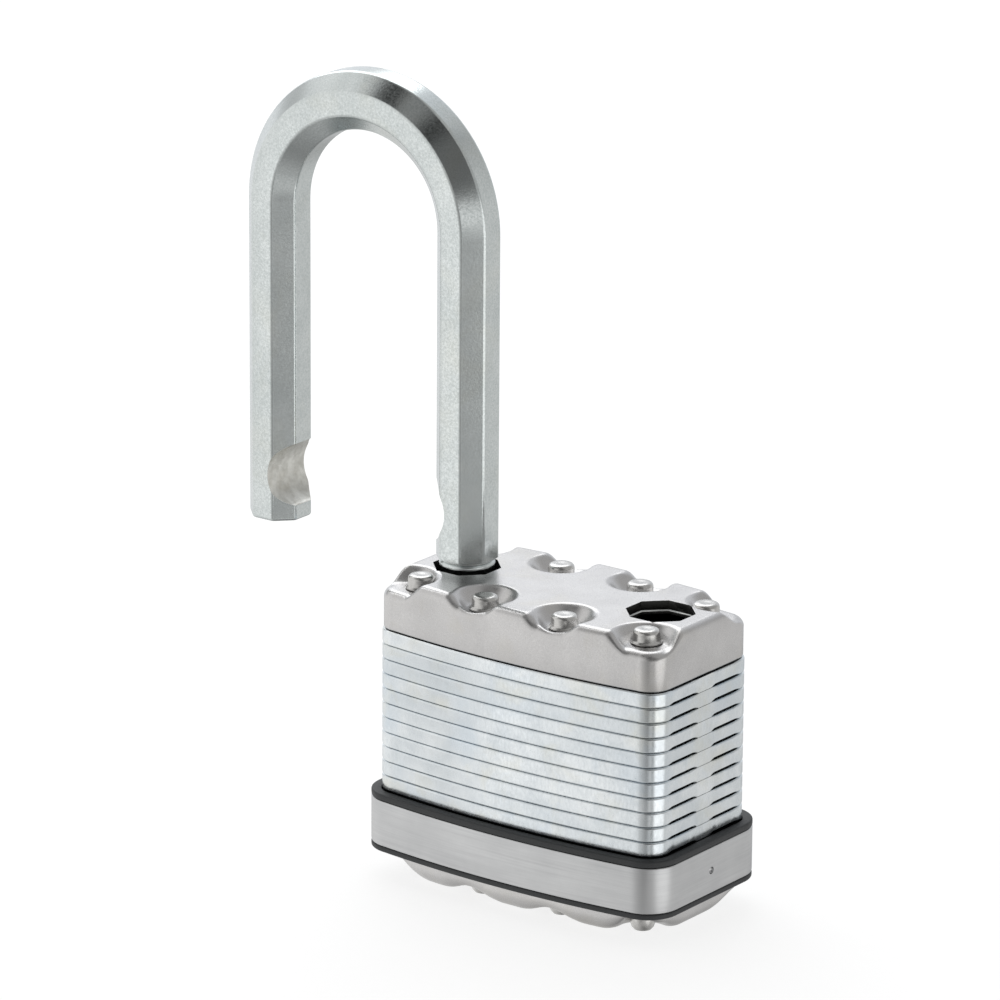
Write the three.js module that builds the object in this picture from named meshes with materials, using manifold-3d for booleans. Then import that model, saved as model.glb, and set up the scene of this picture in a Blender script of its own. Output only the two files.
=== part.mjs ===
// Laminated steel padlock with a long octagonal shackle, shown open: the shackle is raised
// and swung half a turn about its heel leg.
// Millimetres, +Z up. X runs across the body, from the heel leg (-X) to the toe socket (+X),
// and Y runs from front to back. The origin is the middle of the body's top face.
import * as THREE from "three";
import { mergeVertices } from "three/addons/utils/BufferGeometryUtils.js";
import Module from "manifold-3d";

const wasm = await Module();
wasm.setup();

// Body outline, seen from above: flat ends, bowed front and back
const bodyWidth = 50.8;
const bodyDepthMiddle = 27.2;
const bodyDepthEnds = 24.4;
const bodyCornerRadius = 3.5;
const cornerSteps = 3;
const bowSteps = 3;

// Plate stack
const plateCount = 17;
const plateThickness = 2.226;
const plateGap = 0.03;
const coveredPlates = 2; // plates inside each cover's side wall

// Drawn covers over both ends of the stack
const coverThickness = 1.5;
const coverSetback = 0.2; // the cover's side stands this far inside the plates' outline
const coverFit = 0.1; // between a cover and the plates in it
const coverEdgeGap = 0.27; // between the cover's rim and the first full plate
const topPocketDepth = 2.1; // rivet pockets below the top face
const basePocketDepth = 2.5;
const topPocketRadius = 4.8;
const basePocketRadius = 4.1;
const guardMargin = 0.3; // of the guard plates from the shackle's bores
const outerPocketShift = [1.4, 2]; // end pockets sit further out than their rivets
const outerPocketGrowth = 0.4; // and are a little larger

// Shackle
const legSpacing = bodyWidth - 16;
const barAcrossFlats = 8.75;
const archCentreHeight = 50.1;
const toeEndHeight = 1.2;
const heelBarEnd = 1.1;
const boreFit = 0.4; // leg to bore, flat to flat
const lift = 14; // travel from locked to raised
const archSteps = 16;

// Rivets
const innerRivetY = bodyDepthMiddle / 2 - 4.3;
const outerRivetX = bodyWidth / 2 - 5.2;
const outerRivetY = bodyDepthEnds / 2 - 4.8;
const rivetShankRadius = 1.45;
const rivetHeadRadius = 1.95;
const rivetTipRadius = 1.17; // flat on the end of the lower head
const rivetHeadEdge = 0.45; // bevel round the upper head
const topHeadHeight = 2;
const baseHeadHeight = 2.4;
const rivetFit = 0.06;
const guardBridge = 0.4; // left between a rivet pocket and the plug's hole in the base
const touchGap = 0.05; // between pieces that rest on each other
const restGap = 0.1; // between pieces that only come near each other

// Bumper: rubber ring with a steel band let into it
const bumperTopPlate = 13; // the bumper starts below this plate
const bumperHeight = 8.95;
const bumperThickness = 1.6;
const bumperFit = 0.02; // of its top ledge below the plate above
const bumperLip = 1.05;
const bandDrop = 0.15; // the band's lower edge is nearer the bumper's than its upper edge
const bandThickness = 0.65;
const dimpleRadius = 0.5;
const dimpleDepth = 0.35;

// Locking balls, and their notches on the inner sides of both legs
const notchHeight = 8.4;
const ballRadius = legSpacing / 10 + 0.02;
const notchDepth = Math.min(0.3886 * barAcrossFlats, ballRadius);
const notchRadius = ballRadius + 1.6;

// Round heel end: shoulder, neck and collar. A groove across the neck's inner side takes the
// heel ball when the key is turned back with the shackle raised.
const shoulderRadius = barAcrossFlats / 2 - 0.375;
const shoulderEnd = 2; // below the top face
const neckRadius = shoulderRadius - 1.1;
const retainerThickness = 1.05;
const collarHeight = 2.05;
const retainerRadius = shoulderRadius + 1.5;
const retainerFit = 0.2;

// Shackle spring and the washer on it
const washerThickness = 0.8;
const washerRadius = shoulderRadius + 0.2;
const springWire = 0.8;
const springRadius = washerRadius - 1.1;
const springTurns = 8;
const coilShare = 0.92; // of a wire's thickness, across the flats of its few-sided section

// Room about the balls, and the cam between them
const ballFit = 0.15;
const ballRestGap = 0.15; // between a drawn-in ball and its leg
const notchRestGap = 0.35; // between a thrown ball and its notch
const camGap = 0.3;
const camTopGap = 0.2; // below the guard plate
const camStemMost = 2.4; // radius of the cam's stem, or less where the cam is narrower
const camSpringRadius = 3.4;
const camSpringWire = 0.5;
const camSpringTurns = 2;
const camSpringGap = 0.3; // of the coil's height from its room's
const toeBorePlates = 5;
const stemPlates = 7; // plates above the cylinder

// Cylinder
const plugRadius = 5;
const plugFit = 0.12;
const shellRadius = plugRadius + 1.6;
const pinHousingWidth = 5.8;
const pinHousingReach = bodyDepthMiddle / 2 - 2.7;
const cylinderFit = 0.1;
const plugTail = 1.9; // of the plug above its shell
const plugFaceRecess = 1; // of the plug's face from the base
const clipThickness = 0.7;
const clipSeat = 0.01; // of the clip above its groove's lower side
const clipGrooveRadius = plugRadius - 0.8;
const clipRadius = plugRadius + 1.2;
const clipMouth = 3; // width of the clip's open side
const keywayWidth = 1.5;
const keywayEnd = 1; // below the shell's top
const keywayLow = 0.6 - plugRadius;
const keywayHigh = plugRadius - 1.8;
const baseHoleFit = 0.6; // of the base's hole round the plug
const tangRadius = 2.2;
const tangHeight = 1.4;
const tangFit = 0.2;
const tangAngle = 84; // degrees of arc taken by each driving lug
const tangPlay = 2; // degrees between the lugs' sides at rest

// Pin stacks
const pinRadius = 1.3;
const pinFit = 0.12;
const firstPin = 6.5; // above the base face
const pinPitch = 3.9;
const pinStopDepth = 0.7; // a pin's hole ends this far past the plug's axis
const keyPinLengths = [3.9, 4.6, 3.5, 4.9, 4.2]; // from the plug's surface
const pinSpringRadius = 0.95;
const pinSpringWire = 0.35;
const pinSpringTurns = 3;
const pinHoleEnd = pinHousingReach - 0.6;
const pinSpringRoom = 1.98; // left above a driver pin

// Cutters run past what they cut
const past = 1;
const above = 5;

// Places that follow from these sizes
const platePitch = plateThickness + plateGap;
const stackTop = -topPocketDepth - coverThickness;
const plateTop = (n) => stackTop - (n - 1) * platePitch; // n counts from 1 at the top
const stackBottom = plateTop(plateCount + 1);
const baseFace = stackBottom - coverThickness - basePocketDepth;
const heelX = -legSpacing / 2;
const toeX = legSpacing / 2;
const raisedToeX = heelX - legSpacing;
const boreAcrossFlats = barAcrossFlats + 2 * boreFit;
const ballHeight = notchHeight - lift;
const ballOpenX = toeX - barAcrossFlats / 2 - ballRadius - ballRestGap;
const ballThrow = notchDepth + ballRestGap - notchRestGap;
const camNarrow = ballOpenX - ballRadius - camGap;
const camWide = camNarrow + ballThrow;
const camStemRadius = Math.min(camStemMost, camNarrow);
const camTop = stackTop - camTopGap;
const camBottom = plateTop(coveredPlates + 1) + restGap;
const cylinderTop = plateTop(stemPlates + 1);
const plugTop = cylinderTop - 2 * restGap;
const shellTop = plugTop - plugTail;
const shellBottom = stackBottom + restGap;
const plugFace = baseFace + plugFaceRecess;
const driverLength = pinHoleEnd - plugRadius - plugFit - pinSpringRoom;
// A key pin's edge stays inside the plug's round when the plug turns
const keyPinTop = Math.sqrt(plugRadius ** 2 - pinRadius ** 2) - touchGap;
const retainerTop = -shoulderEnd - lift - touchGap;
const collarTop = retainerTop - retainerThickness - touchGap;
const collarBottom = collarTop - collarHeight;
const bumperTop = plateTop(bumperTopPlate + 1) - bumperFit;
const bumperBottom = bumperTop - bumperHeight;
// The inner rivets stand as close to the plug as their pockets allow
const innerRivetReach =
  basePocketRadius + coverThickness + coverFit + plugRadius + baseHoleFit + guardBridge;
const innerRivetX = Math.sqrt(innerRivetReach ** 2 - innerRivetY ** 2);
const rivetPlaces = [
  [-outerRivetX, -outerRivetY],
  [-innerRivetX, -innerRivetY],
  [innerRivetX, -innerRivetY],
  [outerRivetX, -outerRivetY],
  [-outerRivetX, outerRivetY],
  [-innerRivetX, innerRivetY],
  [innerRivetX, innerRivetY],
  [outerRivetX, outerRivetY],
];

const finish = (color, roughness, metalness) =>
  new THREE.MeshStandardMaterial({ color, roughness, metalness });
const stainless = finish(0xb8b8b6, 0.35, 1);
const zincPlate = finish(0xcdd4d8, 0.4, 1);
const plated = finish(0xb4bab8, 0.35, 1);
const rubber = finish(0x3a3c3e, 0.8, 0);
const brushedSteel = finish(0xb9babc, 0.4, 1);
const brass = finish(0xb99a5b, 0.35, 1);
const springSteel = finish(0x8c8f92, 0.4, 1);
const ballSteel = finish(0xc8ccd0, 0.15, 1);

const padlock = new THREE.Group();

function add(name, geometry, material) {
  const mesh = new THREE.Mesh(geometry, material);
  mesh.name = name;
  padlock.add(mesh);
}

// Solids ------------------------------------------------------------------

function solid(geometry) {
  const bare = geometry.clone();
  bare.deleteAttribute("normal");
  bare.deleteAttribute("uv");
  const merged = mergeVertices(bare, 1e-4);
  return new wasm.Manifold(
    new wasm.Mesh({
      numProp: 3,
      vertProperties: new Float32Array(merged.attributes.position.array),
      triVerts: new Uint32Array(merged.index.array),
    }),
  );
}

function geometryOf(made) {
  const mesh = made.getMesh();
  const indexed = new THREE.BufferGeometry();
  indexed.setAttribute("position", new THREE.BufferAttribute(mesh.vertProperties, 3));
  indexed.setIndex(new THREE.BufferAttribute(mesh.triVerts, 1));
  const geometry = indexed.toNonIndexed();
  geometry.computeVertexNormals();
  return geometry;
}

// A shape pulled straight up from z = low to z = high
function prism(shape, low, high) {
  const geometry = new THREE.ExtrudeGeometry(shape, { depth: high - low, bevelEnabled: false });
  geometry.translate(0, 0, low);
  return solid(geometry);
}

function block(x, y, z) {
  const geometry = new THREE.BoxGeometry(x[1] - x[0], y[1] - y[0], z[1] - z[0]);
  geometry.translate((x[0] + x[1]) / 2, (y[0] + y[1]) / 2, (z[0] + z[1]) / 2);
  return solid(geometry);
}

// A regular polygon, by default with a flat side facing +X
function polygon(sides, acrossFlats, x = 0, y = 0) {
  const radius = acrossFlats / 2 / Math.cos(Math.PI / sides);
  const points = [];
  for (let i = 0; i < sides; i++) {
    const angle = ((i + 0.5) * 2 * Math.PI) / sides;
    points.push(
      new THREE.Vector2(x + radius * Math.cos(angle), y + radius * Math.sin(angle)),
    );
  }
  return new THREE.Shape(points);
}

function rod(radius, low, high, x = 0, y = 0, sides = 20) {
  return prism(polygon(sides, 2 * radius, x, y), low, high);
}

// A round solid lying along Y at height z
function crossRod(radius, lowY, highY, z, sides = 8) {
  const geometry = new THREE.CylinderGeometry(radius, radius, highY - lowY, sides);
  geometry.translate(0, (lowY + highY) / 2, z);
  return geometry;
}

// A piece turned about the vertical line through (x, y); profile is [radius, z] pairs
function turned(profile, x = 0, y = 0, sides = 16) {
  const points = profile.map(([radius, z]) => new THREE.Vector2(radius, z));
  const geometry = new THREE.LatheGeometry(points, sides);
  geometry.rotateX(Math.PI / 2);
  geometry.translate(x, y, 0);
  return solid(geometry);
}

// A coil spring standing on its axis, from z = 0 to z = height
class Helix extends THREE.Curve {
  constructor(radius, height, turns) {
    super();
    this.radius = radius;
    this.height = height;
    this.turns = turns;
  }
  getPoint(t, target = new THREE.Vector3()) {
    const angle = 2 * Math.PI * this.turns * t;
    return target.set(
      this.radius * Math.cos(angle),
      this.radius * Math.sin(angle),
      this.height * t,
    );
  }
}

function coil(radius, wire, height, turns, stepsPerTurn, sides) {
  const path = new Helix(radius, height - wire, turns);
  const geometry = new THREE.ExtrudeGeometry(polygon(sides, wire * coilShare), {
    steps: Math.round(turns * stepsPerTurn),
    extrudePath: path,
    bevelEnabled: false,
  });
  geometry.translate(0, 0, wire / 2);
  return geometry;
}

// Body outline -------------------------------------------------------------

// The outline moved inwards by inset, or outwards where inset is negative
function bodyOutline(inset) {
  const cornerX = bodyWidth / 2 - bodyCornerRadius;
  const cornerY = bodyDepthEnds / 2 - bodyCornerRadius;
  const bow = (bodyDepthMiddle - bodyDepthEnds) / 2;
  const radius = bodyCornerRadius - inset;
  const points = [];
  // Quarter turns round the corners, counter-clockwise from the front right one
  for (const [signX, signY, start] of [
    [1, -1, -Math.PI / 2],
    [1, 1, 0],
    [-1, 1, Math.PI / 2],
    [-1, -1, Math.PI],
  ]) {
    for (let i = 0; i <= cornerSteps; i++) {
      const angle = start + (i * Math.PI) / 2 / cornerSteps;
      points.push(
        new THREE.Vector2(
          signX * cornerX + radius * Math.cos(angle),
          signY * cornerY + radius * Math.sin(angle),
        ),
      );
    }
    if (signX !== signY) continue;
    // The bowed side that follows this corner: the back after (1, 1), the front after (-1, -1)
    for (let i = 1; i < bowSteps * 2; i++) {
      const along = 1 - i / bowSteps;
      points.push(
        new THREE.Vector2(
          signX * cornerX * along,
          signY * (cornerY + radius + bow * (1 - along * along)),
        ),
      );
    }
  }
  return new THREE.Shape(points);
}

// The round pockets about the rivets, which reach out past the side
function pockets(radius, low, high) {
  const cuts = rivetPlaces.map(([rivetX, rivetY]) => {
    const outer = Math.abs(rivetX) === outerRivetX;
    const [shiftX, shiftY] = outer ? outerPocketShift : [0, 0];
    const x = rivetX + shiftX * Math.sign(rivetX);
    const y = rivetY + shiftY * Math.sign(rivetY);
    return rod(outer ? radius + outerPocketGrowth : radius, low, high, x, y, 18);
  });
  return cuts.reduce((all, cut) => all.add(cut));
}

function rivetHoles(low, high) {
  const width = 2 * (rivetShankRadius + rivetFit);
  const holes = rivetPlaces.map(([x, y]) => prism(polygon(6, width, x, y), low, high));
  return holes.reduce((all, hole) => all.add(hole));
}

// Hollows inside the body -----------------------------------------------------

const octagonBore = (x, low) => prism(polygon(8, boreAcrossFlats, x), low, above);

const hollows = [
  rivetHoles(baseFace - above, above),
  octagonBore(heelX, stackBottom - plateGap),
  octagonBore(toeX, plateTop(toeBorePlates + 1)),
  rod(
    retainerRadius + retainerFit,
    plateTop(stemPlates),
    retainerTop + touchGap,
    heelX,
    0,
    16,
  ),
  block(
    [heelX, toeX],
    [-ballRadius - ballFit, ballRadius + ballFit],
    [ballHeight - ballRadius - ballFit, ballHeight + ballRadius + ballFit],
  ),
  rod(camWide + camGap, plateTop(coveredPlates + 1), stackTop + touchGap, 0, 0, 16),
  rod(
    camSpringRadius + camSpringWire,
    plateTop(coveredPlates + 2),
    plateTop(coveredPlates + 1) + past,
    0,
    0,
    12,
  ),
  rod(
    Math.max(camStemRadius, tangRadius) + ballFit,
    cylinderTop - past,
    plateTop(coveredPlates + 2) + past,
    0,
    0,
    12,
  ),
  rod(shellRadius + cylinderFit, stackBottom - past, cylinderTop, 0, 0, 16),
  block(
    [-pinHousingWidth / 2 - cylinderFit, pinHousingWidth / 2 + cylinderFit],
    [0, pinHousingReach + cylinderFit],
    [stackBottom - past, cylinderTop],
  ),
].reduce((all, hollow) => all.add(hollow));

// Covers ----------------------------------------------------------------------

// A cover with its outer face at z = 0 and its side wall running down
function cover(pocketRadius, pocketDepth, wallHeight) {
  const outerPockets = pockets(pocketRadius, -pocketDepth, above);
  const innerPockets = pockets(pocketRadius + coverThickness, -pocketDepth - coverThickness, above);
  const outside = prism(bodyOutline(coverSetback), -wallHeight, 0).subtract(outerPockets);
  const inside = prism(
    bodyOutline(coverSetback + coverThickness),
    -wallHeight - above,
    -coverThickness,
  ).subtract(innerPockets);
  return outside.subtract(inside);
}

const topWall = -plateTop(coveredPlates + 1) - coverEdgeGap;
const baseWall = plateTop(plateCount - coveredPlates + 1) - coverEdgeGap - baseFace;
const octagonHoles = octagonBore(heelX, -above).add(octagonBore(toeX, -above));
const topCover = cover(topPocketRadius, topPocketDepth, topWall)
  .subtract(octagonHoles)
  .subtract(rivetHoles(-above, above));
add("top_cover", geometryOf(topCover), stainless);

const baseCover = cover(basePocketRadius, basePocketDepth, baseWall)
  .rotate([180, 0, 0])
  .translate([0, 0, baseFace])
  .subtract(rivetHoles(baseFace - above, stackBottom))
  .subtract(rod(plugRadius + baseHoleFit, baseFace - above, stackBottom));
add("bottom_cover", geometryOf(baseCover), stainless);

// Hardened plates that fill the raised middle of each cover, between the shackle's bores
function guardPlate(pocketRadius, low, high) {
  const outline = bodyOutline(coverSetback + coverThickness + coverFit);
  const rivetRoom = pockets(pocketRadius + coverThickness + coverFit, low - past, high + past);
  const reach = (legSpacing - boreAcrossFlats) / 2 - guardMargin;
  const middle = block([-reach, reach], [-bodyDepthMiddle, bodyDepthMiddle], [low - past, high + past]);
  return prism(outline, low, high).intersect(middle).subtract(rivetRoom);
}

const topGuard = guardPlate(
  topPocketRadius,
  stackTop + touchGap,
  -coverThickness - coverFit,
)
  .subtract(hollows);
add("top_guard_plate", geometryOf(topGuard), zincPlate);
const baseGuard = guardPlate(
  basePocketRadius,
  baseFace + coverThickness + coverFit,
  stackBottom - touchGap,
)
  .subtract(rod(plugRadius + baseHoleFit, baseFace, stackBottom));
add("bottom_guard_plate", geometryOf(baseGuard), zincPlate);

// Plates ------------------------------------------------------------------------

for (let n = 1; n <= plateCount; n++) {
  const covered = n <= coveredPlates || n > plateCount - coveredPlates;
  const inset = covered ? coverSetback + coverThickness + coverFit : 0;
  const plate = prism(bodyOutline(inset), plateTop(n) - plateThickness, plateTop(n));
  const name = "plate_" + String(n).padStart(2, "0");
  add(name, geometryOf(plate.subtract(hollows)), zincPlate);
}

// Rivets --------------------------------------------------------------------------

const topHeadSeat = -topPocketDepth + touchGap;
const baseHeadSeat = baseFace + basePocketDepth - touchGap;
rivetPlaces.forEach(([x, y], i) => {
  const rivet = turned(
    [
      [0, baseHeadSeat - baseHeadHeight],
      [rivetTipRadius, baseHeadSeat - baseHeadHeight],
      [rivetHeadRadius, baseHeadSeat - baseHeadHeight / 2],
      [rivetHeadRadius, baseHeadSeat],
      [rivetShankRadius, baseHeadSeat],
      [rivetShankRadius, topHeadSeat],
      [rivetHeadRadius, topHeadSeat],
      [rivetHeadRadius, topHeadSeat + topHeadHeight - rivetHeadEdge],
      [rivetHeadRadius - rivetHeadEdge, topHeadSeat + topHeadHeight],
      [0, topHeadSeat + topHeadHeight],
    ],
    x,
    y,
    8,
  );
  add("rivet_" + (i + 1), geometryOf(rivet), stainless);
});

// Bumper ------------------------------------------------------------------------------

function ring(inset, outset, low, high) {
  const hole = prism(bodyOutline(inset), low - past, high + past);
  return prism(bodyOutline(-outset), low, high).subtract(hole);
}

const bandLow = bumperBottom + bumperLip - bandDrop;
const bandHigh = bumperTop - bumperLip;
const groove = ring(
  bandThickness + touchGap - bumperThickness,
  bumperThickness + past,
  bandLow - touchGap,
  bandHigh + touchGap,
);
add(
  "bumper",
  geometryOf(ring(-touchGap, bumperThickness, bumperBottom, bumperTop).subtract(groove)),
  rubber,
);

const bandFace = bodyWidth / 2 + bumperThickness;
const dimple = new THREE.CylinderGeometry(dimpleRadius, dimpleRadius, 2 * dimpleDepth, 8);
dimple.rotateZ(Math.PI / 2);
dimple.translate(bandFace, 0, (bandLow + bandHigh) / 2);
const band = ring(bandThickness - bumperThickness, bumperThickness, bandLow, bandHigh);
add("bumper_band", geometryOf(band.subtract(solid(dimple))), brushedSteel);

// Shackle ---------------------------------------------------------------------------------

// Up the heel leg, over the arch and down the toe leg, with stations only where the bar bends
class ShacklePath extends THREE.Curve {
  getPointAt(u, target = new THREE.Vector3()) {
    const station = Math.round(u * (archSteps + 2));
    if (station === 0) return target.set(heelX, 0, heelBarEnd);
    if (station === archSteps + 2) return target.set(raisedToeX, 0, toeEndHeight);
    const angle = ((station - 1) * Math.PI) / archSteps;
    return target.set(
      heelX - (legSpacing / 2) * (1 - Math.cos(angle)),
      0,
      archCentreHeight + (legSpacing / 2) * Math.sin(angle),
    );
  }
  getTangentAt(u, target = new THREE.Vector3()) {
    const station = Math.min(Math.max(Math.round(u * (archSteps + 2)) - 1, 0), archSteps);
    const angle = (station * Math.PI) / archSteps;
    return target.set(-Math.sin(angle), 0, Math.cos(angle));
  }
}

// A groove straight across a leg, cut by a cylinder lying front to back
function notch(faceX, inward) {
  const cutter = crossRod(notchRadius, -barAcrossFlats, barAcrossFlats, notchHeight, 24);
  cutter.translate(faceX + inward * (notchDepth - notchRadius), 0, 0);
  return solid(cutter);
}

const bar = new THREE.ExtrudeGeometry(polygon(8, barAcrossFlats), {
  steps: archSteps + 2,
  extrudePath: new ShacklePath(),
  bevelEnabled: false,
});
const heelEnd = turned(
  [
    [0, collarBottom],
    [shoulderRadius, collarBottom],
    [shoulderRadius, collarTop],
    [neckRadius, collarTop],
    [neckRadius, -shoulderEnd],
    [shoulderRadius, -shoulderEnd],
    [shoulderRadius, heelBarEnd + past],
    [0, heelBarEnd + past],
  ],
  heelX,
);
const ballRelief = crossRod(ballRadius + ballFit, -barAcrossFlats, barAcrossFlats, ballHeight, 24);
ballRelief.translate(-ballOpenX - ballThrow, 0, 0);
const shackle = solid(bar)
  .add(heelEnd)
  .subtract(solid(ballRelief))
  .subtract(notch(heelX - barAcrossFlats / 2, 1))
  .subtract(notch(raisedToeX + barAcrossFlats / 2, -1));
add("shackle", geometryOf(shackle), plated);

// Horseshoe clip round the heel's neck, trapped between two plates
const retainerLow = retainerTop - retainerThickness;
const neckRoom = neckRadius + retainerFit;
const retainer = rod(retainerRadius, retainerLow, retainerTop, heelX, 0, 16)
  .subtract(rod(neckRoom, retainerLow - past, retainerTop + past, heelX, 0, 16))
  .subtract(
    block(
      [heelX, heelX + retainerRadius + past],
      [-neckRoom, neckRoom],
      [retainerLow - past, retainerTop + past],
    ),
  );
add("heel_retainer", geometryOf(retainer), springSteel);

const washerTop = collarBottom - touchGap;
add(
  "spring_washer",
  geometryOf(rod(washerRadius, washerTop - washerThickness, washerTop, heelX, 0, 12)),
  springSteel,
);

const springTop = washerTop - washerThickness - touchGap;
const springBottom = stackBottom + touchGap;
const shackleSpring = coil(
  springRadius,
  springWire,
  springTop - springBottom,
  springTurns,
  8,
  4,
);
shackleSpring.translate(heelX, 0, springBottom);
add("shackle_spring", shackleSpring, springSteel);

// Locking balls and cam -------------------------------------------------------------------

for (const [name, side] of [
  ["heel_ball", -1],
  ["toe_ball", 1],
]) {
  const ball = new THREE.SphereGeometry(ballRadius, 12, 8);
  ball.rotateX(Math.PI / 2);
  ball.translate(side * ballOpenX, 0, ballHeight);
  add(name, ball, ballSteel);
}

// Two lobes whose radius grows evenly over each quarter turn, narrow along X when open
function camProfile() {
  const points = [];
  const quarterSteps = 6;
  for (let i = 0; i < quarterSteps * 4; i++) {
    const quarter = i / quarterSteps;
    const share = Math.abs(((quarter + 1) % 2) - 1);
    const radius = camNarrow + ballThrow * share;
    const angle = (quarter * Math.PI) / 2;
    points.push(new THREE.Vector2(radius * Math.cos(angle), radius * Math.sin(angle)));
  }
  return new THREE.Shape(points);
}

// A sector of a disc, used for the lugs that drive the cam from the plug
function sector(radius, middle, width) {
  const points = [new THREE.Vector2(0, 0)];
  const steps = 4;
  for (let i = 0; i <= steps; i++) {
    const angle = THREE.MathUtils.degToRad(middle - width / 2 + (i * width) / steps);
    points.push(new THREE.Vector2(radius * Math.cos(angle), radius * Math.sin(angle)));
  }
  return new THREE.Shape(points);
}

const camLugAngle = 90;
const plugLugAngle = camLugAngle - 180 + tangPlay;
const stemBottom = plugTop + ballFit;
const cam = prism(camProfile(), camBottom, camTop)
  .add(rod(camStemRadius, stemBottom, camTop - past, 0, 0, 12))
  .add(
    prism(sector(tangRadius, camLugAngle, tangAngle), stemBottom - tangHeight, stemBottom + past),
  );
add("lock_cam", geometryOf(cam), plated);

const camSpring = coil(
  camSpringRadius,
  camSpringWire,
  platePitch - camSpringGap,
  camSpringTurns,
  8,
  4,
);
camSpring.translate(0, 0, plateTop(coveredPlates + 2) + restGap);
add("cam_spring", camSpring, springSteel);

// Cylinder --------------------------------------------------------------------------------

const pinHeights = keyPinLengths.map((_, i) => baseFace + firstPin + i * pinPitch);

const holeRadius = pinRadius + pinFit;
const pinHole = (lowY, highY, z) => solid(crossRod(holeRadius, lowY, highY, z));

let shell = rod(shellRadius, shellBottom, shellTop, 0, 0, 16).add(
  block(
    [-pinHousingWidth / 2, pinHousingWidth / 2],
    [0, pinHousingReach],
    [shellBottom, shellTop],
  ),
);
shell = shell.subtract(rod(plugRadius + plugFit, shellBottom - past, shellTop + past, 0, 0, 20));
for (const z of pinHeights) shell = shell.subtract(pinHole(plugRadius - past, pinHoleEnd, z));
add("cylinder_shell", geometryOf(shell), brass);

const clipLow = shellTop + touchGap;
let plug = rod(plugRadius, plugFace, plugTop, 0, 0, 20)
  .subtract(
    block(
      [-keywayWidth / 2, keywayWidth / 2],
      [keywayLow, keywayHigh],
      [plugFace - past, shellTop - keywayEnd],
    ),
  )
  .subtract(
    rod(plugRadius + past, clipLow, clipLow + clipThickness + touchGap, 0, 0, 20).subtract(
      rod(clipGrooveRadius, clipLow - past, clipLow + clipThickness + past, 0, 0, 20),
    ),
  )
  .subtract(rod(tangRadius + tangFit, plugTop - tangHeight, plugTop + past, 0, 0, 16))
  .add(
    prism(
      sector(tangRadius + 2 * tangFit, plugLugAngle, tangAngle),
      plugTop - tangHeight - tangFit,
      plugTop,
    ),
  );
for (const z of pinHeights) plug = plug.subtract(pinHole(-pinStopDepth, plugRadius + past, z));
add("plug", geometryOf(plug), brass);

const clipHigh = clipLow + clipThickness;
const clip = rod(clipRadius, clipLow + clipSeat, clipHigh, 0, 0, 16)
  .subtract(rod(clipGrooveRadius + touchGap, clipLow - past, clipHigh + past, 0, 0, 16))
  .subtract(
    block(
      [0, clipRadius + past],
      [-clipMouth / 2, clipMouth / 2],
      [clipLow - past, clipHigh + past],
    ),
  );
add("plug_clip", geometryOf(clip), springSteel);

keyPinLengths.forEach((length, i) => {
  const z = pinHeights[i];
  const driverLow = plugRadius + plugFit;
  const driverHigh = driverLow + driverLength;
  add("key_pin_" + (i + 1), crossRod(pinRadius, plugRadius - length, keyPinTop, z), brass);
  add("driver_pin_" + (i + 1), crossRod(pinRadius, driverLow, driverHigh, z), brass);
  const springLength = pinHoleEnd - driverHigh - 2 * touchGap;
  const spring = coil(pinSpringRadius, pinSpringWire, springLength, pinSpringTurns, 6, 4);
  spring.rotateX(-Math.PI / 2);
  spring.translate(0, driverHigh + touchGap, z);
  add("pin_spring_" + (i + 1), spring, springSteel);
});

export default padlock;
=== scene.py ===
import math

import bmesh
import bpy
from mathutils import Matrix, Vector


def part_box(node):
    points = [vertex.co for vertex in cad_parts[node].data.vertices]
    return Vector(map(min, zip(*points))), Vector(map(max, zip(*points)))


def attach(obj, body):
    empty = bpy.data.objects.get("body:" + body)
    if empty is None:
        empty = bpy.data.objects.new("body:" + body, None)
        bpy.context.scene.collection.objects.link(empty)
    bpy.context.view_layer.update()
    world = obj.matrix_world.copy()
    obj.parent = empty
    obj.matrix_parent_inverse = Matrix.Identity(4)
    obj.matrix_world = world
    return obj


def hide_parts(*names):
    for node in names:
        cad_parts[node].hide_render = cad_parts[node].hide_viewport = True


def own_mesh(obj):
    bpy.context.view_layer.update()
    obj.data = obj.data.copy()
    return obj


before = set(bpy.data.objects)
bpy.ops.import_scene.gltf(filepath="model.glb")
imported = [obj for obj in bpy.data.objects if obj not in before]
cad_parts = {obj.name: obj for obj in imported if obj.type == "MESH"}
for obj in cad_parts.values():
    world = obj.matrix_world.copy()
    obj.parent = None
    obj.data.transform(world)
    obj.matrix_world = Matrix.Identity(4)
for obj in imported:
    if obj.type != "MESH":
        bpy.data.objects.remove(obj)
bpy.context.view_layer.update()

UP = Vector((0, 0, 1))


def low_high(node):
    """A CAD node's lowest and highest corners in millimetres."""
    low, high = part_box(node)
    return Vector(low) * 1000, Vector(high) * 1000


# Body: the plates' outline, bowed front and back between narrower ends
plate_high = low_high("plate_08")[1]
HALF_WIDTH = plate_high.x
HALF_DEPTH = plate_high.y
END_HALF_DEPTH = 12.2
CORNER = 3.5
BOW = HALF_DEPTH - END_HALF_DEPTH
PLATE_PITCH = plate_high.z - low_high("plate_09")[1].z
COVER_RIM = low_high("top_cover")[0].z
BASE_FACE, BASE_RIM = (corner.z for corner in low_high("bottom_cover"))
BUMPER_REACH = 1.6  # beyond the plates

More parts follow.
